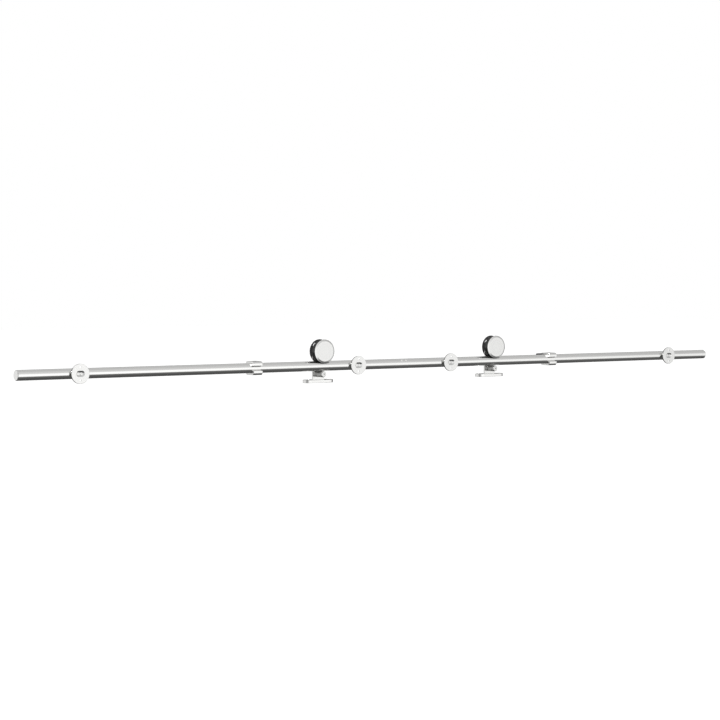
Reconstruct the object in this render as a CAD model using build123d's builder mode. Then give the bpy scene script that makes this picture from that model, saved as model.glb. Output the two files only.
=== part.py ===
from build123d import *
import os
from math import cos, radians, sin, sqrt

# Sliding barn door hardware: a round rail on four wall flanges, two rolling hangers and two stops.
# Millimetres. X runs along the rail, Z is up, the wall is the plane Y = 0 and the room is on +Y.
# The origin is on the wall, midway between the two inner flanges.

os.makedirs("parts", exist_ok=True)

# ---------------------------------------------------------------- driving dimensions
rail_length = 2200.0
tube_od = 25.0
tube_id = 21.0
rail_y = 18.5                  # the rail's axis stands this far off the wall
inner_fit = 0.1                # radial play of the pieces inside the tube

flange_stations = (-944.0, -150.0, 150.0, 944.0)
flange_od = 47.4
flange_thickness = 3.5
flange_chamfer = 0.5
hub_od = 15.0
hub_height = 1.9
dish_length = 22.4             # sloping hollow round the stud's end, on the wall side
dish_height = 14.4
dish_depth = 2.7
dish_taper = 57.0              # lean of its walls from the flange's axis, in degrees
wall_hole_spacing = 31.0
wall_hole_d = 4.6
wall_sink_d = 8.6
spacer_od = 11.0

stud_d = 6.0                   # M6 studs, swaged into the flanges
stud_hole_d = 6.4
stud_sunk = 0.1                # the stud's end lies this far below the dish
stud_length = 20.0
stud_chamfer = 0.5
thread_play = 0.03             # radial play between a thread and its hole
rail_nut_length = 26.0

connector_length = 120.0
grub_offset = 7.0              # connector grub screws, from the joint
grub_tilt = 42.0               # and above the horizontal, on the wall side
grub_d = 5.0
grub_length = 6.0
grub_socket = 2.5              # across flats, as for the sockets below
grub_sunk = 0.2

plug_head = 3.0
plug_chamfer = 1.0
plug_spigot = 18.0

hanger_stations = {"left": -251.5, "right": 308.5}
wheel_radius = 30.2
wheel_width = 23.0
groove_radius = 12.8
groove_depth = 5.8
running_gap = 0.3              # rail to wheel groove
lip_fillet = 0.35
cap_od = 60.0
cap_thickness = 2.6
cap_bevel_width = 4.5          # across the face
cap_bevel_depth = 1.7          # along the axle
cap_spigot_radius = 17.0
cap_spigot_wall = 2.5
cap_spigot_depth = 3.5

bearing_od = 26.0              # 10 x 26 x 8 ball bearing
bearing_bore = 10.0
bearing_width = 8.0
ball_d = 4.76
ball_count = 7
ball_pitch_radius = 9.0
race_radius = 2.45
inner_shoulder_radius = 7.6
outer_shoulder_radius = 10.4
spacer_way_radius = 10.5       # the wheel's rear hole, round the axle spacer

strap_width = 35.5             # below the rail
strap_neck = 29.0              # width above it
neck_low = -11.0               # the strap narrows from here
neck_high = 11.0               # to here
strap_thickness = 5.0
strap_gap = 4.0                # wheel to strap
strap_bottom = -35.0
strap_chamfer = 0.5
axle_d = 9.94
axle_hole_d = 10.2
axle_end = -9.5                # along Y, from the rail's axis
axle_head_d = 20.0
axle_head_height = 5.5
axle_head_fillet = 1.8
axle_socket = 6.0
axle_socket_depth = 2.8
axle_spacer_od = 16.0
axle_nut_flats = 17.0
axle_nut_height = 5.0
nut_bevel = 0.8

plate_length = 86.5
plate_width = 30.0
plate_thickness = 8.0
door_hole_spacing = 60.0
door_hole_d = 6.5
door_sink_d = 12.5
strap_screw_spacing = 20.0
strap_screw_d = 4.0
strap_screw_head_d = 8.0
strap_screw_length = 17.0
strap_screw_socket = 2.5

roller_d = 15.6
roller_gap = 0.6               # rail to anti-jump roller
roller_front = -6.4            # along Y, from the rail's axis
roller_side_play = 0.3
roller_fillet = 1.0
shoulder_d = 8.0
shoulder_play = 0.06
roller_head_d = 14.4
roller_head_height = 2.8
roller_socket = 4.0
roller_socket_depth = 1.9
roller_thread_d = 6.0
roller_hole_d = 6.2
roller_nut_flats = 10.0
roller_nut_height = 5.0
thread_end = 1.5               # a bolt's end past its nut

stop_stations = {"left": -453.5, "right": 506.5}
stop_length = 26.0
stop_height = 34.0
stop_front = -17.0             # along Y, from the rail's axis
stop_back = 21.0
stop_corner = 6.5
stop_bore = 25.2
stop_slot = 13.0
stop_chamfer = 0.6
stop_screw_d = 6.0
stop_socket = 3.0
bumper_y = 16.5                # from the rail's axis
bumper_z = 11.0
bumper_d = 9.0
bumper_length = 18.0
bumper_tip = 2.0
stem_d = 5.0
stem_length = 8.0

# ---------------------------------------------------------------- worked out from them
tube_length = rail_length / 2 - plug_head
tube_wall = (tube_od - tube_id) / 2
core_radius = tube_id / 2 - inner_fit
wheel_z = tube_od / 2 + running_gap + (wheel_radius - groove_depth)
groove_centre = wheel_z                                   # below the axle, on the rail's axis
groove_half_width = sqrt(groove_radius**2 - (groove_centre - wheel_radius) ** 2)
strap_front = wheel_width / 2 + strap_gap
strap_back = strap_front + strap_thickness
strap_middle = (strap_front + strap_back) / 2
roller_z = -(tube_od / 2 + roller_gap + roller_d / 2)
roller_back = strap_front - roller_side_play
hub_back = flange_thickness + hub_height


# ---------------------------------------------------------------- planes and helpers
def across_rail(x, z=0.0):
    """Cross-section of the rail at station x: local X is +Y, local Y is +Z, normal along the rail."""
    return Plane(origin=(x, rail_y, z), x_dir=(0, 1, 0), z_dir=(1, 0, 0))


def facing_wall(x, y, z=0.0):
    """Plane parallel to the wall: local X is +X, local Y is +Z, normal towards the wall."""
    return Plane(origin=(x, y, z), x_dir=(1, 0, 0), z_dir=(0, -1, 0))


def facing_room(x, y, z=0.0):
    """Plane parallel to the wall: local X is +X, normal towards the room."""
    return Plane(origin=(x, y, z), x_dir=(1, 0, 0), z_dir=(0, 1, 0))


def hex_nut(plane, flats, height, bore):
    """Hexagon nut standing on the plane, its corners bevelled at both ends."""
    with BuildPart() as bevelled:
        with BuildSketch(plane):
            Circle(flats / sqrt(3))
        extrude(amount=height)
        chamfer(bevelled.edges().filter_by(GeomType.CIRCLE), length=nut_bevel)
    with BuildPart() as nut:
        with BuildSketch(plane):
            RegularPolygon(flats / 2, 6, major_radius=False)
            Circle(bore / 2, mode=Mode.SUBTRACT)
        extrude(amount=height)
        add(bevelled.part, mode=Mode.INTERSECT)
    return nut.part


def axle_axis(x, z):
    """Axis that crosses the rail, from the wall to the room."""
    return Axis((x, rail_y, z), (0, 1, 0))


def save(piece, label):
    """Name a finished piece and write it to its own file."""
    piece.label = label
    export_step(piece, f"parts/{label}.step")


def group(label, pieces):
    """Identical fasteners, kept as separate solids in one file."""
    save(Compound(children=pieces), label)


def polar_point(radius, angle, x):
    """A point on a circle round the rail; the angle rises from the horizontal on the wall side."""
    return (x, rail_y - radius * cos(radians(angle)), radius * sin(radians(angle)))


def grub_plane(x):
    """Plane on the tube's skin at a connector grub screw, normal outwards."""
    outwards = (0, -cos(radians(grub_tilt)), sin(radians(grub_tilt)))
    return Plane(origin=polar_point(tube_od / 2, grub_tilt, x), x_dir=(1, 0, 0), z_dir=outwards)


# ---------------------------------------------------------------- rail
for side, start, flanges in (
    ("left", -tube_length, flange_stations[:2]),
    ("right", 0.0, flange_stations[2:]),
):
    grub_x = grub_offset if start == 0 else -grub_offset
    with BuildPart() as tube:
        with BuildSketch(across_rail(start)):
            Circle(tube_od / 2)
            Circle(tube_id / 2, mode=Mode.SUBTRACT)
        extrude(amount=tube_length)
        for station in flanges:
            with BuildSketch(facing_wall(station, rail_y)):
                Circle(stud_hole_d / 2)
            extrude(amount=tube_od, mode=Mode.SUBTRACT)
        with BuildSketch(grub_plane(grub_x)):
            Circle(grub_d / 2 + thread_play)
        extrude(amount=-2 * tube_wall, mode=Mode.SUBTRACT)
    save(tube.part, f"rail_tube_{side}")

with BuildPart() as connector:
    with BuildSketch(across_rail(-connector_length / 2)):
        Circle(core_radius)
    extrude(amount=connector_length)
    chamfer(connector.edges().filter_by(GeomType.CIRCLE), length=plug_chamfer)
    for grub_x in (-grub_offset, grub_offset):
        with BuildSketch(grub_plane(grub_x)):
            Circle(grub_d / 2 + thread_play)
        extrude(amount=-(grub_sunk + grub_length), mode=Mode.SUBTRACT)
save(connector.part, "rail_connector")

grub_screws = []
for grub_x in (-grub_offset, grub_offset):
    with BuildPart() as grub:
        with BuildSketch(grub_plane(grub_x).offset(-grub_sunk)):
            Circle(grub_d / 2)
        extrude(amount=-grub_length)
        with BuildSketch(grub_plane(grub_x).offset(-grub_sunk)):
            RegularPolygon(grub_socket / 2, 6, major_radius=False)
        extrude(amount=-grub_length / 2, mode=Mode.SUBTRACT)
    grub_screws.append(grub.part)
group("connector_set_screws", grub_screws)

for side, face_x, outwards in (("left", -tube_length, -1), ("right", tube_length, 1)):
    with BuildPart() as plug:
        with BuildSketch(across_rail(face_x)):
            Circle(tube_od / 2)
        extrude(amount=outwards * plug_head)
        rings = plug.edges().filter_by(GeomType.CIRCLE).sort_by(Axis.X)
        chamfer(rings[-1] if outwards > 0 else rings[0], length=plug_chamfer)
        with BuildSketch(across_rail(face_x)):
            Circle(core_radius)
        extrude(amount=-outwards * plug_spigot)
    save(plug.part, f"end_plug_{side}")

# ---------------------------------------------------------------- wall flanges
flange_studs = []
rail_nuts = []
for number, station in enumerate(flange_stations, start=1):
    with BuildPart() as flange:
        with BuildSketch(facing_wall(station, flange_thickness)):
            Circle(flange_od / 2)
        extrude(amount=flange_thickness)
        chamfer(flange.edges().filter_by(GeomType.CIRCLE), length=flange_chamfer)
        with BuildSketch(facing_wall(station, hub_back)):
            Circle(hub_od / 2)
        extrude(amount=hub_height)
        with BuildSketch(facing_room(station, 0)):
            SlotOverall(dish_length, dish_height)
        extrude(amount=dish_depth, taper=dish_taper, mode=Mode.SUBTRACT)
        with BuildSketch(facing_room(station, 0)):
            Circle(stud_d / 2 + thread_play)
        extrude(amount=hub_back, mode=Mode.SUBTRACT)
        with Locations(facing_room(station, flange_thickness)):
            with GridLocations(0, wall_hole_spacing, 1, 2):
                CounterSinkHole(wall_hole_d / 2, wall_sink_d / 2, depth=flange_thickness)
    save(flange.part, f"wall_flange_{number}")

    with BuildPart() as spacer:
        with BuildSketch(facing_wall(station, hub_back)):
            Circle(spacer_od / 2)
            Circle(stud_hole_d / 2, mode=Mode.SUBTRACT)
        extrude(amount=-(rail_y - hub_back) / 2)
        with BuildSketch(across_rail(station - spacer_od)):
            Circle(tube_od / 2)
        extrude(amount=2 * spacer_od, mode=Mode.SUBTRACT)
    save(spacer.part, f"flange_spacer_{number}")

    stud_start = dish_depth + stud_sunk
    with BuildPart() as stud:
        with BuildSketch(facing_wall(station, stud_start)):
            Circle(stud_d / 2)
        extrude(amount=-stud_length)
        chamfer(stud.edges().filter_by(GeomType.CIRCLE), length=stud_chamfer)
    flange_studs.append(stud.part)

    with BuildPart() as nut:
        with BuildSketch(across_rail(station - rail_nut_length / 2)):
            Circle(core_radius)
        extrude(amount=rail_nut_length)
        with BuildSketch(facing_wall(station, stud_start + stud_length)):
            Circle(stud_d / 2 + thread_play)
        extrude(amount=rail_y, mode=Mode.SUBTRACT)
    rail_nuts.append(nut.part)
group("flange_studs", flange_studs)
group("rail_nuts", rail_nuts)


# ---------------------------------------------------------------- hangers
def make_wheel(x, side):
    """Grooved nylon wheel, its steel cap and its ball bearing, turned about the axle."""
    section = across_rail(x, wheel_z)
    axle = axle_axis(x, wheel_z)
    half = wheel_width / 2
    half_bearing = bearing_width / 2
    cap_seat = -half + cap_spigot_depth
    with BuildPart() as wheel:
        with BuildSketch(section):
            with BuildLine():
                Polyline(
                    (-groove_half_width, wheel_radius),
                    (-half, wheel_radius),
                    (-half, cap_spigot_radius),
                    (cap_seat, cap_spigot_radius),
                    (cap_seat, bearing_od / 2),
                    (half_bearing, bearing_od / 2),
                    (half_bearing, spacer_way_radius),
                    (half, spacer_way_radius),
                    (half, wheel_radius),
                    (groove_half_width, wheel_radius),
                )
                ThreePointArc(
                    (groove_half_width, wheel_radius),
                    (0, groove_centre - groove_radius),
                    (-groove_half_width, wheel_radius),
                )
            make_face()
        revolve(axis=axle)
        rim_edges = wheel.edges().filter_by(
            lambda edge: edge.geom_type == GeomType.CIRCLE and edge.radius > wheel_radius - lip_fillet
        )
        fillet(rim_edges, radius=lip_fillet)
    save(wheel.part, f"wheel_{side}")

    with BuildPart() as cap:
        with BuildSketch(facing_wall(x, rail_y - half, wheel_z)):
            Circle(cap_od / 2)
        extrude(amount=cap_thickness)
        front_face = cap.faces().sort_by(Axis.Y)[0]
        chamfer(front_face.edges(), length=cap_bevel_width, length2=cap_bevel_depth, reference=front_face)
        with BuildSketch(facing_wall(x, rail_y - half, wheel_z)):
            Circle(cap_spigot_radius)
            Circle(cap_spigot_radius - cap_spigot_wall, mode=Mode.SUBTRACT)
        extrude(amount=-cap_spigot_depth)
    save(cap.part, f"wheel_cap_{side}")

    with BuildPart() as outer_ring:
        with BuildSketch(section):
            with Locations((0, (outer_shoulder_radius + bearing_od / 2) / 2)):
                Rectangle(bearing_width, bearing_od / 2 - outer_shoulder_radius)
            with Locations((0, ball_pitch_radius)):
                Circle(race_radius, mode=Mode.SUBTRACT)
        revolve(axis=axle)
    save(outer_ring.part, f"bearing_outer_ring_{side}")

    with BuildPart() as inner_ring:
        with BuildSketch(section):
            with Locations((0, (inner_shoulder_radius + bearing_bore / 2) / 2)):
                Rectangle(bearing_width, inner_shoulder_radius - bearing_bore / 2)
            with Locations((0, ball_pitch_radius)):
                Circle(race_radius, mode=Mode.SUBTRACT)
        revolve(axis=axle)
    save(inner_ring.part, f"bearing_inner_ring_{side}")

    with BuildPart() as balls:
        with Locations(facing_wall(x, rail_y, wheel_z)):
            with PolarLocations(ball_pitch_radius, ball_count):
                Sphere(ball_d / 2)
    save(balls.part, f"bearing_balls_{side}")


def make_axle(x, side):
    """Axle bolt with its head on the room side, the spacer to the bearing and the nut under the cap."""
    inner_face = rail_y + strap_back
    with BuildPart() as bolt:
        with BuildSketch(facing_wall(x, inner_face, wheel_z)):
            Circle(axle_head_d / 2)
        extrude(amount=-axle_head_height)
        fillet(bolt.edges().filter_by(GeomType.CIRCLE).group_by(Axis.Y)[-1], radius=axle_head_fillet)
        with BuildSketch(facing_wall(x, inner_face, wheel_z)):
            Circle(axle_d / 2)
        extrude(amount=strap_back - axle_end)
        with BuildSketch(facing_wall(x, inner_face + axle_head_height, wheel_z)):
            RegularPolygon(axle_socket / 2, 6, major_radius=False)
        extrude(amount=axle_socket_depth, mode=Mode.SUBTRACT)
    save(bolt.part, f"axle_bolt_{side}")

    with BuildPart() as spacer:
        with BuildSketch(facing_wall(x, rail_y + strap_front, wheel_z)):
            Circle(axle_spacer_od / 2)
            Circle(bearing_bore / 2, mode=Mode.SUBTRACT)
        extrude(amount=strap_front - bearing_width / 2)
    save(spacer.part, f"axle_spacer_{side}")

    nut_seat = facing_wall(x, rail_y - bearing_width / 2, wheel_z)
    save(hex_nut(nut_seat, axle_nut_flats, axle_nut_height, bearing_bore), f"axle_nut_{side}")


def make_strap(x, side):
    """Strap from the axle down to the door plate, the plate itself and the screws that join them."""
    with BuildPart() as strap:
        with BuildSketch(facing_wall(x, rail_y + strap_back)):
            with BuildLine():
                Polyline(
                    (-strap_neck / 2, wheel_z),
                    (-strap_neck / 2, neck_high),
                    (-strap_width / 2, neck_low),
                    (-strap_width / 2, strap_bottom),
                    (strap_width / 2, strap_bottom),
                    (strap_width / 2, neck_low),
                    (strap_neck / 2, neck_high),
                    (strap_neck / 2, wheel_z),
                )
                ThreePointArc(
                    (strap_neck / 2, wheel_z),
                    (0, wheel_z + strap_neck / 2),
                    (-strap_neck / 2, wheel_z),
                )
            make_face()
        extrude(amount=strap_thickness)
        long_edges = strap.edges().group_by(Axis.Z)[1:]
        chamfer([edge for level in long_edges for edge in level], length=strap_chamfer)
        with BuildSketch(facing_wall(x, rail_y + strap_back)):
            with Locations((0, wheel_z)):
                Circle(axle_hole_d / 2)
            with Locations((0, roller_z)):
                Circle(roller_hole_d / 2)
        extrude(amount=strap_thickness, mode=Mode.SUBTRACT)
        with BuildSketch(Plane.XY.offset(strap_bottom)):
            with Locations((x, rail_y + strap_middle)):
                with GridLocations(strap_screw_spacing, 0, 2, 1):
                    Circle(strap_screw_d / 2 + thread_play)
        extrude(amount=strap_screw_length - plate_thickness, mode=Mode.SUBTRACT)
    save(strap.part, f"hanger_strap_{side}")

    with BuildPart() as plate:
        with BuildSketch(Plane.XY.offset(strap_bottom - plate_thickness)):
            with Locations((x, rail_y + strap_middle)):
                SlotOverall(plate_length, plate_width)
        extrude(amount=plate_thickness)
        chamfer(plate.edges().filter_by(Plane.XY), length=strap_chamfer)
        with Locations((x, rail_y + strap_middle, strap_bottom)):
            with GridLocations(door_hole_spacing, 0, 2, 1):
                CounterSinkHole(door_hole_d / 2, door_sink_d / 2, depth=plate_thickness)
        underside = Plane((x, rail_y + strap_middle, strap_bottom - plate_thickness), z_dir=(0, 0, -1))
        with Locations(underside):
            with GridLocations(strap_screw_spacing, 0, 2, 1):
                CounterSinkHole(strap_screw_d / 2 + inner_fit, strap_screw_head_d / 2 + inner_fit,
                                depth=plate_thickness)
    save(plate.part, f"door_plate_{side}")

    screws = []
    cone_height = (strap_screw_head_d - strap_screw_d) / 2
    for screw_x in (x - strap_screw_spacing / 2, x + strap_screw_spacing / 2):
        bottom = strap_bottom - plate_thickness
        foot = Plane(origin=(screw_x, rail_y + strap_middle, bottom), x_dir=(1, 0, 0), z_dir=(0, -1, 0))
        with BuildPart() as screw:
            with BuildSketch(foot):
                with BuildLine():
                    Polyline(
                        (0, 0),
                        (strap_screw_head_d / 2, 0),
                        (strap_screw_d / 2, cone_height),
                        (strap_screw_d / 2, strap_screw_length),
                        (0, strap_screw_length),
                        close=True,
                    )
                make_face()
            revolve(axis=Axis((screw_x, rail_y + strap_middle, bottom), (0, 0, 1)))
            with BuildSketch(Plane((screw_x, rail_y + strap_middle, bottom))):
                RegularPolygon(strap_screw_socket / 2, 6, major_radius=False)
            extrude(amount=cone_height, mode=Mode.SUBTRACT)
        screws.append(screw.part)
    group(f"strap_screws_{side}", screws)


def make_anti_jump(x, side):
    """Roller close under the rail on a shouldered bolt, with its nut on the room side of the strap."""
    with BuildPart() as roller:
        with BuildSketch(facing_wall(x, rail_y + roller_back, roller_z)):
            Circle(roller_d / 2)
        extrude(amount=roller_back - roller_front)
        fillet(roller.edges().filter_by(GeomType.CIRCLE), radius=roller_fillet)
        with BuildSketch(facing_wall(x, rail_y + roller_back, roller_z)):
            Circle(shoulder_d / 2 + shoulder_play)
        extrude(amount=roller_back - roller_front, mode=Mode.SUBTRACT)
    save(roller.part, f"anti_jump_roller_{side}")

    head_back = roller_front - roller_side_play
    with BuildPart() as bolt:
        with BuildSketch(facing_wall(x, rail_y + head_back, roller_z)):
            Circle(roller_head_d / 2)
        extrude(amount=roller_head_height)
        fillet(bolt.edges().filter_by(GeomType.CIRCLE).group_by(Axis.Y)[0], radius=roller_fillet)
        with BuildSketch(facing_wall(x, rail_y + strap_front, roller_z)):
            Circle(shoulder_d / 2)
        extrude(amount=strap_front - head_back)
        with BuildSketch(facing_wall(x, rail_y + strap_front, roller_z)):
            Circle(roller_thread_d / 2)
        extrude(amount=-(strap_thickness + roller_nut_height + thread_end))
        with BuildSketch(facing_wall(x, rail_y + head_back - roller_head_height, roller_z)):
            RegularPolygon(roller_socket / 2, 6, major_radius=False)
        extrude(amount=-roller_socket_depth, mode=Mode.SUBTRACT)
    save(bolt.part, f"anti_jump_bolt_{side}")

    nut_bore = roller_thread_d + 2 * thread_play
    nut_seat = facing_room(x, rail_y + strap_back, roller_z)
    save(hex_nut(nut_seat, roller_nut_flats, roller_nut_height, nut_bore), f"anti_jump_nut_{side}")


for side, station in hanger_stations.items():
    make_wheel(station, side)
    make_axle(station, side)
    make_strap(station, side)
    make_anti_jump(station, side)


# ---------------------------------------------------------------- stops
def make_stop(x, side, towards_hanger):
    """Collar with a slot on the wall side, its rubber bumper and its set screw."""
    face_x = x + towards_hanger * stop_length / 2
    screw_start = tube_od / 2 + running_gap
    with BuildPart() as collar:
        with BuildSketch(across_rail(x - stop_length / 2)):
            with Locations(((stop_front + stop_back) / 2, 0)):
                RectangleRounded(stop_back - stop_front, stop_height, stop_corner)
            Circle(stop_bore / 2, mode=Mode.SUBTRACT)
            with Locations((stop_front / 2, 0)):
                Rectangle(-stop_front, stop_slot, mode=Mode.SUBTRACT)
        extrude(amount=stop_length)
        end_faces = collar.faces().filter_by(Axis.X)
        outer_edges = [edge for face in end_faces for edge in face.outer_wire().edges()]
        chamfer(outer_edges, length=stop_chamfer)
        with BuildSketch(facing_wall(x, rail_y + stop_back)):
            Circle(stop_screw_d / 2 + thread_play)
        extrude(amount=stop_back, mode=Mode.SUBTRACT)
        with BuildSketch(across_rail(face_x)):
            with Locations((bumper_y, bumper_z)):
                Circle(stem_d / 2)
        extrude(amount=-towards_hanger * stem_length, mode=Mode.SUBTRACT)
    save(collar.part, f"stop_collar_{side}")

    with BuildPart() as bumper:
        with BuildSketch(across_rail(face_x)):
            with Locations((bumper_y, bumper_z)):
                Circle(bumper_d / 2)
        extrude(amount=towards_hanger * bumper_length)
        rings = bumper.edges().filter_by(GeomType.CIRCLE).sort_by(Axis.X)
        fillet(rings[-1] if towards_hanger > 0 else rings[0], radius=bumper_tip)
        with BuildSketch(across_rail(face_x)):
            with Locations((bumper_y, bumper_z)):
                Circle(stem_d / 2)
        extrude(amount=-towards_hanger * stem_length)
    save(bumper.part, f"stop_bumper_{side}")

    with BuildPart() as screw:
        with BuildSketch(facing_wall(x, rail_y + screw_start)):
            Circle(stop_screw_d / 2)
        extrude(amount=-(stop_back - screw_start - grub_sunk))
        with BuildSketch(facing_wall(x, rail_y + stop_back - grub_sunk)):
            RegularPolygon(stop_socket / 2, 6, major_radius=False)
        extrude(amount=stop_screw_d / 2, mode=Mode.SUBTRACT)
    save(screw.part, f"stop_set_screw_{side}")


make_stop(stop_stations["left"], "left", 1)
make_stop(stop_stations["right"], "right", -1)
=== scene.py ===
import math

import bpy
from mathutils import Euler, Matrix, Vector


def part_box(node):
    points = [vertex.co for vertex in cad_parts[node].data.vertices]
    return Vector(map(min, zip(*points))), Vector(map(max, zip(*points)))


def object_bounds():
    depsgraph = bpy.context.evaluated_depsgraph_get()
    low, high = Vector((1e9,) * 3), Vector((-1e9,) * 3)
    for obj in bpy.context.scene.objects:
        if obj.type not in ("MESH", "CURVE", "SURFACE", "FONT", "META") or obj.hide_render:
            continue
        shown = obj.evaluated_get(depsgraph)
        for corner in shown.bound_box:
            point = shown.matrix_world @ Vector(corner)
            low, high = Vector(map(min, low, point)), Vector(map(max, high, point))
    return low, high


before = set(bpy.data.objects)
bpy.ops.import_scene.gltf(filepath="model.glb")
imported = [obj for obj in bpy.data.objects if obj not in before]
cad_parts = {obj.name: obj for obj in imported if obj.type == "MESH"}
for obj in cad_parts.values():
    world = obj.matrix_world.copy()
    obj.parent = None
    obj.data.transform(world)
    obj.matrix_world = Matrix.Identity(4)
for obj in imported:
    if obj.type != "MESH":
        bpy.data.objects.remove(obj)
cad_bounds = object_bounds()

MM = 0.001
SIDES = ("left", "right")
FLANGES = range(1, 5)

# ---------------------------------------------------------------- camera
CAMERA_YAW = math.radians(35.67)      # from +Y towards +X
CAMERA_PITCH = math.radians(-2.35)
CAMERA_PLACE = Vector((-3.123, -4.147, 0.2226))
LENS = 100.15
SENSOR_WIDTH = 36.0
NEAREST, FARTHEST = 0.05, 60.0        # clipping distances


def add_camera():
    data = bpy.data.cameras.new("camera")
    data.lens = LENS
    data.sensor_width = SENSOR_WIDTH
    data.clip_start = NEAREST
    data.clip_end = FARTHEST
    camera = bpy.data.objects.new("camera", data)
    camera.location = CAMERA_PLACE
    camera.rotation_euler = Euler((math.pi / 2 + CAMERA_PITCH, 0.0, -CAMERA_YAW), "XYZ")
    bpy.context.scene.collection.objects.link(camera)
    bpy.context.scene.camera = camera


# ---------------------------------------------------------------- node helpers
NOISE_RANGE = (0.3, 0.7)              # the values that noise mostly takes


class Tree:
    """A node tree with short ways to add and join nodes."""

    def __init__(self, owner):
        owner.use_nodes = True
        self.nodes = owner.node_tree.nodes
        self.links = owner.node_tree.links

    def add(self, kind, **settings):
        node = self.nodes.new("ShaderNode" + kind)
        for key, value in settings.items():
            setattr(node, key, value)
        return node

    def put(self, value, socket):
        """Joins an output to a socket, or sets the socket to a number or a colour."""
        if isinstance(value, bpy.types.NodeSocket):
            self.links.new(value, socket)
        else:
            socket.default_value = value

    def fill(self, node, **values):
        """Puts values into a node's sockets; From_Min stands for the socket From Min."""
        for name, value in values.items():
            self.put(value, node.inputs[name.replace("_", " ")])

    def math(self, operation, *values):
        node = self.add("Math", operation=operation)
        for value, socket in zip(values, node.inputs):
            self.put(value, socket)
        return node.outputs[0]

    def blend(self, first, first_share, second, second_share):
        """A share of one value added to a share of another."""
        part = self.math("MULTIPLY", second, second_share)
        return self.math("MULTIPLY_ADD", first, first_share, part)

    def map_range(self, value, low, high, to_low, to_high, smooth=False):
        node = self.add("MapRange", interpolation_type="SMOOTHSTEP" if smooth else "LINEAR")
        self.fill(node, Value=value, From_Min=low, From_Max=high, To_Min=to_low, To_Max=to_high)
        return node.outputs["Result"]

    def vary(self, noise, low, high):
        """Goes from low to high over the values that noise mostly takes."""
        return self.map_range(noise, *NOISE_RANGE, low, high)

    def ramp(self, value, stops):
        """Grey levels along a value from 0 to 1."""
        node = self.add("ValToRGB")
        elements = node.color_ramp.elements
        elements.remove(elements[-1])
        for index, (place, level) in enumerate(stops):
            element = elements[0] if index == 0 else elements.new(place)
            element.position = place
            element.color = grey(level)
        self.put(value, node.inputs["Fac"])
        return node.outputs["Color"]

    def mix(self, factor, first, second):
        """Goes from one colour to another as the factor goes from 0 to 1."""
        node = self.add("Mix", data_type="RGBA")
        self.put(factor, node.inputs["Factor"])
        for value, name in ((first, "A"), (second, "B")):
            self.put(value, next(s for s in node.inputs if s.name == name and s.type == "RGBA"))
        return next(s for s in node.outputs if s.type == "RGBA")

    def noise(self, scales, detail=3.0, roughness=0.5):
        """Noise in space, as fine along each axis as its scale says."""
        node = self.add("TexNoise", noise_dimensions="3D")
        place = self.stretched(scales)
        self.fill(node, Vector=place, Scale=1.0, Detail=detail, Roughness=roughness)
        return node.outputs["Fac"]

    def noise_along(self, value, pitch, detail, roughness=0.5):
        """Noise along one value."""
        node = self.add("TexNoise", noise_dimensions="1D")
        self.fill(node, W=value, Scale=1.0 / pitch, Detail=detail, Roughness=roughness)
        return node.outputs["Fac"]

    def stretched(self, scales, centre=(0.0, 0.0, 0.0)):
        """Object coordinates from a centre, scaled along each axis."""
        moved = self.add("VectorMath", operation="SUBTRACT")
        self.put(self.add("TexCoord").outputs["Object"], moved.inputs[0])
        self.put(tuple(centre), moved.inputs[1])
        scaled = self.add("VectorMath", operation="MULTIPLY")
        self.put(moved.outputs[0], scaled.inputs[0])
        self.put(tuple(scales), scaled.inputs[1])
        return scaled.outputs[0]

    def radius(self, centre, axis):
        """Distance from the line through the centre along an axis."""
        flat = self.stretched([float(letter != axis) for letter in "XYZ"], centre)
        length = self.add("VectorMath", operation="LENGTH")
        self.put(flat, length.inputs[0])
        return length.outputs["Value"]

    def facing(self, axis):
        """1 where the surface faces along an axis of the object, 0 where it lies along it."""
        normal = self.add("SeparateXYZ")
        self.put(self.add("TexCoord").outputs["Normal"], normal.inputs[0])
        return self.math("ABSOLUTE", normal.outputs[axis])

    def bump(self, height, distance):
        node = self.add("Bump")
        self.fill(node, Strength=1.0, Distance=distance, Height=height)
        return node.outputs["Normal"]


def grey(level):
    return (level, level, level, 1.0)


def new_material(name):
    material = bpy.data.materials.new(name)
    tree = Tree(material)
    return material, tree, tree.nodes["Principled BSDF"]


# ---------------------------------------------------------------- light
# Grey levels round the part. A height of 0 is straight down, 0.5 is level and 1 is straight up.
# The wall side is a white box over a dark floor, under a light grey ceiling:
BOX_BY_HEIGHT = (
    (0.0, 0.08), (0.11, 0.15), (0.19, 0.18), (0.24, 0.20), (0.30, 1.0),
    (0.59, 1.0), (0.64, 0.84), (0.72, 0.70), (0.87, 0.81), (0.92, 0.88),
)
# It is brightest at a turn of 1, square to the wall, and dimmest at 0, along the wall:
BOX_BY_TURN = ((0.0, 0.50), (0.2, 0.55), (0.5, 0.68), (0.71, 0.80), (0.81, 0.93), (0.9, 1.0))
BOX_LEFT_END = (-0.8, -0.35)          # X of the directions between which its left end brightens
BOX_LEFT_LEVEL = 0.45                 # share of the light that is left at that end
# The room side is dim, and brighter on the left than on the right:
BACK_LEFT = ((0.0, 0.055), (0.36, 0.07), (0.45, 0.72), (0.56, 0.70), (0.8, 0.50), (1.0, 0.47))
BACK_RIGHT = ((0.0, 0.055), (0.45, 0.12), (0.62, 0.14), (0.73, 0.45), (1.0, 0.47))
LEFT_TO_RIGHT = (-0.3, 0.15)          # X of the directions where one goes over into the other
BACK_TO_BOX = (0.15, -0.35)           # Y of the directions where the room side becomes the box
STUDIO_STRENGTH = 1.15
WHITE = grey(1.0)

LAMP_PLACE = Vector((-3.2, -0.65, 5.8))
LAMP_TARGET = Vector((0.0, 0.0, 0.0))
LAMP_WIDTH, LAMP_LENGTH = 0.9, 3.2
LAMP_POWER = 340.0

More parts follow.
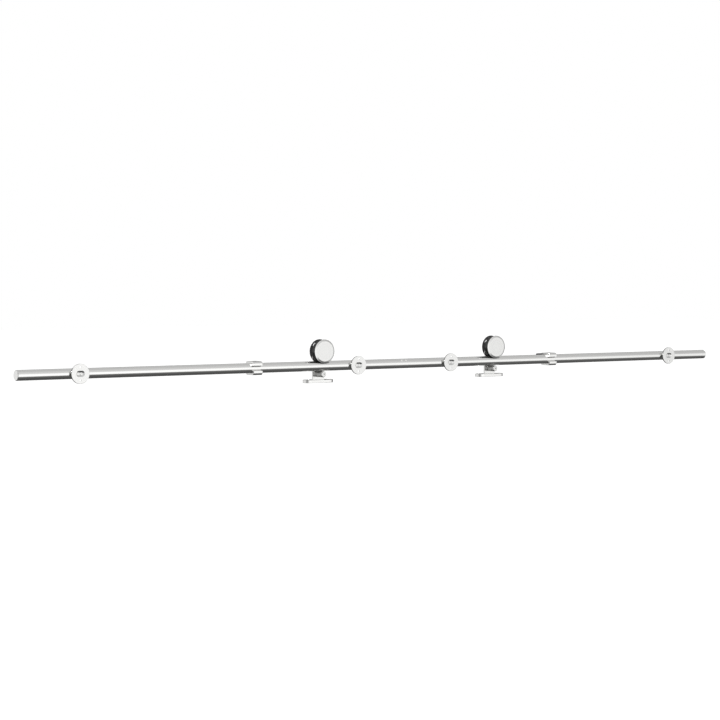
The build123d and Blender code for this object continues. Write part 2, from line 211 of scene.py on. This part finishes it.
FLOOR_REACH = 40.0
FLOOR_DROP = 1.0                      # below the lowest point of the part
FLOOR_COLOUR = grey(0.9)
FLOOR_ROUGHNESS = 0.8
FLOOR_GLOW = 0.6


def add_world():
    """The studio that the part mirrors; the camera sees plain white behind the part."""
    world = bpy.data.worlds.new("studio")
    bpy.context.scene.world = world
    tree = Tree(world)
    direction = tree.add("SeparateXYZ")
    tree.put(tree.add("TexCoord").outputs["Generated"], direction.inputs[0])
    x, y, z = direction.outputs
    height = tree.map_range(z, -1.0, 1.0, 0.0, 1.0)
    turn = tree.map_range(y, 0.0, -1.0, 0.0, 1.0)
    left_end = tree.map_range(x, *BOX_LEFT_END, BOX_LEFT_LEVEL, 1.0)
    by_turn = tree.math("MULTIPLY", tree.ramp(turn, BOX_BY_TURN), left_end)
    box = tree.math("MULTIPLY", tree.ramp(height, BOX_BY_HEIGHT), by_turn)
    to_right = tree.map_range(x, *LEFT_TO_RIGHT, 0.0, 1.0, smooth=True)
    back = tree.mix(to_right, tree.ramp(height, BACK_LEFT), tree.ramp(height, BACK_RIGHT))
    to_box = tree.map_range(y, *BACK_TO_BOX, 0.0, 1.0, smooth=True)
    studio = tree.nodes["Background"]
    tree.fill(studio, Color=tree.mix(to_box, back, box), Strength=STUDIO_STRENGTH)
    backdrop = tree.add("Background")
    tree.fill(backdrop, Color=WHITE)
    mix = tree.add("MixShader")
    tree.put(tree.add("LightPath").outputs["Is Camera Ray"], mix.inputs["Fac"])
    tree.put(studio.outputs[0], mix.inputs[1])
    tree.put(backdrop.outputs[0], mix.inputs[2])
    tree.put(mix.outputs[0], tree.nodes["World Output"].inputs["Surface"])


def add_lamp():
    """A softbox overhead at the left."""
    data = bpy.data.lights.new("overhead", "AREA")
    data.shape = "RECTANGLE"
    data.size = LAMP_WIDTH
    data.size_y = LAMP_LENGTH
    data.energy = LAMP_POWER
    lamp = bpy.data.objects.new("overhead", data)
    lamp.location = LAMP_PLACE
    lamp.rotation_euler = (LAMP_TARGET - LAMP_PLACE).to_track_quat("-Z", "Y").to_euler()
    bpy.context.scene.collection.objects.link(lamp)


def add_floor():
    """A plain pale floor, which the steel doesn't mirror."""
    low, _ = cad_bounds
    signs = ((-1, -1), (1, -1), (1, 1), (-1, 1))
    corners = [(sx * FLOOR_REACH, sy * FLOOR_REACH, low.z - FLOOR_DROP) for sx, sy in signs]
    mesh = bpy.data.meshes.new("floor")
    mesh.from_pydata(corners, [], [(0, 1, 2, 3)])
    floor = bpy.data.objects.new("floor", mesh)
    bpy.context.scene.collection.objects.link(floor)
    floor.visible_glossy = False
    material, tree, shader = new_material("pale_floor")
    tree.fill(shader, Base_Color=FLOOR_COLOUR, Roughness=FLOOR_ROUGHNESS)
    tree.fill(shader, Emission_Color=WHITE, Emission_Strength=FLOOR_GLOW)
    mesh.materials.append(material)


# ---------------------------------------------------------------- materials
WARM = (1.0, 1.0, 0.985)              # steel's faint warmth
NYLON_IOR = 1.53

# Roughly how many marks there are in a metre along X, Y and Z
TUBE_GRAIN = (5.0, 1400.0, 1400.0)
STRAP_GRAIN = (1200.0, 1200.0, 8.0)
PLATE_GRAIN = (8.0, 1200.0, 1200.0)
COLLAR_GRAIN = (10.0, 1200.0, 1200.0)
STEEL_CLOUDS = (14.0, 40.0, 40.0)
STEEL_SCUFFS = (900.0, 900.0, 900.0)
NYLON_CLOUDS = (220.0, 220.0, 220.0)
NYLON_SCUFFS = (2600.0, 2600.0, 2600.0)
RUBBER_BLOOM = (160.0, 160.0, 160.0)
RUBBER_PEBBLE = (3200.0, 3200.0, 3200.0)

BAND_RINGS = 9.0                      # turned rings in a broader band of them
SAWN_END = (0.8, 0.98)                # facing along X, from the side of a bar to its sawn end
RIM_SHADE_FACING = (0.1, 0.6)              # facing along the axis, from the rim with painted shade to the unshaded face

# How deep the marks are
GRAIN_DEPTH = 0.004 * MM
RING_DEPTH = 0.006 * MM
SCUFF_DEPTH = 0.004 * MM
NYLON_DEPTH = 0.006 * MM
PEBBLE_DEPTH = 0.03 * MM


def tint(level):
    return tuple(level * part for part in WARM) + (1.0,)


def new_steel(name):
    material, tree, shader = new_material(name)
    tree.fill(shader, Metallic=1.0)
    return material, tree, shader


def steel_colour(tree, pattern, level, spread):
    """Grey steel, brighter or darker than its level by up to spread as the pattern goes."""
    return tree.mix(pattern, tint(level - spread), tint(level + spread))


def dark_colour(tree, pattern, level, least, most):
    """Dark grey from least to most times its level as the pattern goes."""
    return tree.mix(pattern, grey(level * least), grey(level * most))


def drawn_steel(name, level, roughness, along, sawn=0.0):
    """Steel with a fine drawn grain and soft cloudy wear; sawn adds roughness to its ends in X."""
    material, tree, shader = new_steel(name)
    grain = tree.noise(along)
    clouds = tree.noise(STEEL_CLOUDS)
    pattern = tree.blend(grain, 0.6, clouds, 0.4)
    worn = tree.vary(clouds, low=roughness - 0.03, high=roughness + 0.02)
    sides = tree.math("MULTIPLY_ADD", grain, 0.06, worn)
    ends = tree.map_range(tree.facing("X"), *SAWN_END, 0.0, sawn)
    tree.fill(
        shader,
        Base_Color=steel_colour(tree, pattern, level, spread=0.03),
        Roughness=tree.math("ADD", sides, ends),
        Normal=tree.bump(grain, GRAIN_DEPTH),
    )
    return material


def turned_steel(name, centre, level, roughness, pitch, axis="Y", edge=0.25):
    """Steel turned round an axis: rings on its face, and painted shade on its rim, whose grey is
    its level times the rim factor.
    """
    material, tree, shader = new_steel(name)
    distance = tree.radius(centre, axis)
    rings = tree.noise_along(distance, pitch, detail=2.0, roughness=0.6)
    bands = tree.noise_along(distance, BAND_RINGS * pitch, detail=1.0)
    face = steel_colour(tree, tree.blend(rings, 0.5, bands, 0.5), level, spread=0.09)
    # Painted shade: the rim, where the surface doesn't face along the axis, takes a darker grey
    # than the face.
    rim_shade_to_face = tree.map_range(tree.facing(axis), *RIM_SHADE_FACING, 0.0, 1.0)
    tree.fill(
        shader,
        Base_Color=tree.mix(rim_shade_to_face, tint(level * edge), face),
        Roughness=tree.math("MULTIPLY_ADD", bands, 0.10, roughness - 0.05),
        Normal=tree.bump(rings, RING_DEPTH),
    )
    return material


def bright_steel(name, level=0.72, roughness=0.16):
    """Small turned or ground steel parts with fine scuffs."""
    material, tree, shader = new_steel(name)
    scuffs = tree.noise(STEEL_SCUFFS, detail=4.0, roughness=0.7)
    tree.fill(
        shader,
        Base_Color=steel_colour(tree, scuffs, level, spread=0.04),
        Roughness=tree.vary(scuffs, low=roughness - 0.05, high=roughness + 0.08),
        Normal=tree.bump(scuffs, SCUFF_DEPTH),
    )
    return material


def black_nylon(name, level, roughness):
    """Glossy nylon: near black, faintly cloudy, with fine scuffs."""
    material, tree, shader = new_material(name)
    clouds = tree.noise(NYLON_CLOUDS)
    scuffs = tree.noise(NYLON_SCUFFS, roughness=0.65)
    tree.fill(
        shader,
        Base_Color=dark_colour(tree, clouds, level, least=0.7, most=1.4),
        Roughness=tree.vary(clouds, low=roughness - 0.03, high=roughness + 0.07),
        Normal=tree.bump(scuffs, NYLON_DEPTH),
        IOR=NYLON_IOR,
    )
    return material


def black_rubber(name, level, roughness):
    """Matt moulded rubber with a fine pebble."""
    material, tree, shader = new_material(name)
    pebble = tree.noise(RUBBER_PEBBLE, roughness=0.6)
    bloom = tree.noise(RUBBER_BLOOM)
    tree.fill(
        shader,
        Base_Color=dark_colour(tree, bloom, level, least=0.75, most=1.3),
        Roughness=tree.vary(pebble, low=roughness - 0.06, high=roughness + 0.12),
        Normal=tree.bump(pebble, PEBBLE_DEPTH),
    )
    return material


# ---------------------------------------------------------------- painting the nodes
def paint(material, *names):
    for name in names:
        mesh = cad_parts[name].data
        mesh.materials.clear()
        mesh.materials.append(material)


def each_side(*stems):
    return [f"{stem}_{side}" for stem in stems for side in SIDES]


def middle(node):
    low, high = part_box(node)
    return (low + high) / 2


def paint_turned(node, name, level, roughness, pitch, **settings):
    """Rings run round a node's own middle, so each node has a material of its own."""
    paint(turned_steel(name, middle(node), level, roughness, pitch, **settings), node)


def paint_rail():
    tube = drawn_steel("rail_tube_steel", level=0.93, roughness=0.11, along=TUBE_GRAIN)
    paint(tube, *each_side("rail_tube"))
    for side in SIDES:
        paint_turned(
            f"end_plug_{side}", f"plug_steel_{side}",
            level=0.93, roughness=0.20, pitch=0.4 * MM, axis="X", edge=1.0,
        )
    # Painted shade on each flange's rim, at the default rim factor; the plugs above have none.
    for number in FLANGES:
        paint_turned(
            f"wall_flange_{number}", f"flange_steel_{number}",
            level=0.82, roughness=0.16, pitch=0.45 * MM,
        )
    paint(bright_steel("spacer_steel"), *[f"flange_spacer_{number}" for number in FLANGES])
    paint(bright_steel("stud_steel", level=0.80), "flange_studs")
    paint(bright_steel("set_screw_steel", level=0.94, roughness=0.75), "connector_set_screws")
    paint(bright_steel("inner_steel", level=0.55, roughness=0.3), "rail_connector", "rail_nuts")


def paint_hangers():
    # Painted shade on each cap's rim, at the default rim factor.
    for side in SIDES:
        paint_turned(
            f"wheel_cap_{side}", f"cap_steel_{side}",
            level=0.80, roughness=0.20, pitch=0.55 * MM,
        )
    strap = drawn_steel("strap_steel", level=0.86, roughness=0.14, along=STRAP_GRAIN)
    plate = drawn_steel("plate_steel", level=0.86, roughness=0.14, along=PLATE_GRAIN)
    bearing = bright_steel("bearing_steel", roughness=0.08)
    nylon = black_nylon("wheel_nylon", level=0.012, roughness=0.15)
    roller = bright_steel("roller_steel", level=0.42, roughness=0.25)
    paint(strap, *each_side("hanger_strap"))
    paint(plate, *each_side("door_plate"))
    paint(bearing, *each_side("bearing_outer_ring", "bearing_inner_ring", "bearing_balls"))
    paint(nylon, *each_side("wheel"))
    paint(roller, *each_side("anti_jump_roller"))


def paint_stops():
    collar = drawn_steel(
        "collar_steel", level=0.90, roughness=0.12, along=COLLAR_GRAIN, sawn=0.2
    )
    rubber = black_rubber("bumper_rubber", level=0.045, roughness=0.62)
    paint(collar, *each_side("stop_collar"))
    paint(rubber, *each_side("stop_bumper"))


def paint_fasteners():
    paint(
        bright_steel("fastener_steel"),
        *each_side("axle_bolt", "axle_spacer", "axle_nut", "anti_jump_bolt", "anti_jump_nut"),
        *each_side("strap_screws", "stop_set_screw"),
    )


bpy.context.scene.view_settings.view_transform = "Standard"
add_camera()
add_world()
add_lamp()
add_floor()
paint_rail()
paint_hangers()
paint_stops()
paint_fasteners()
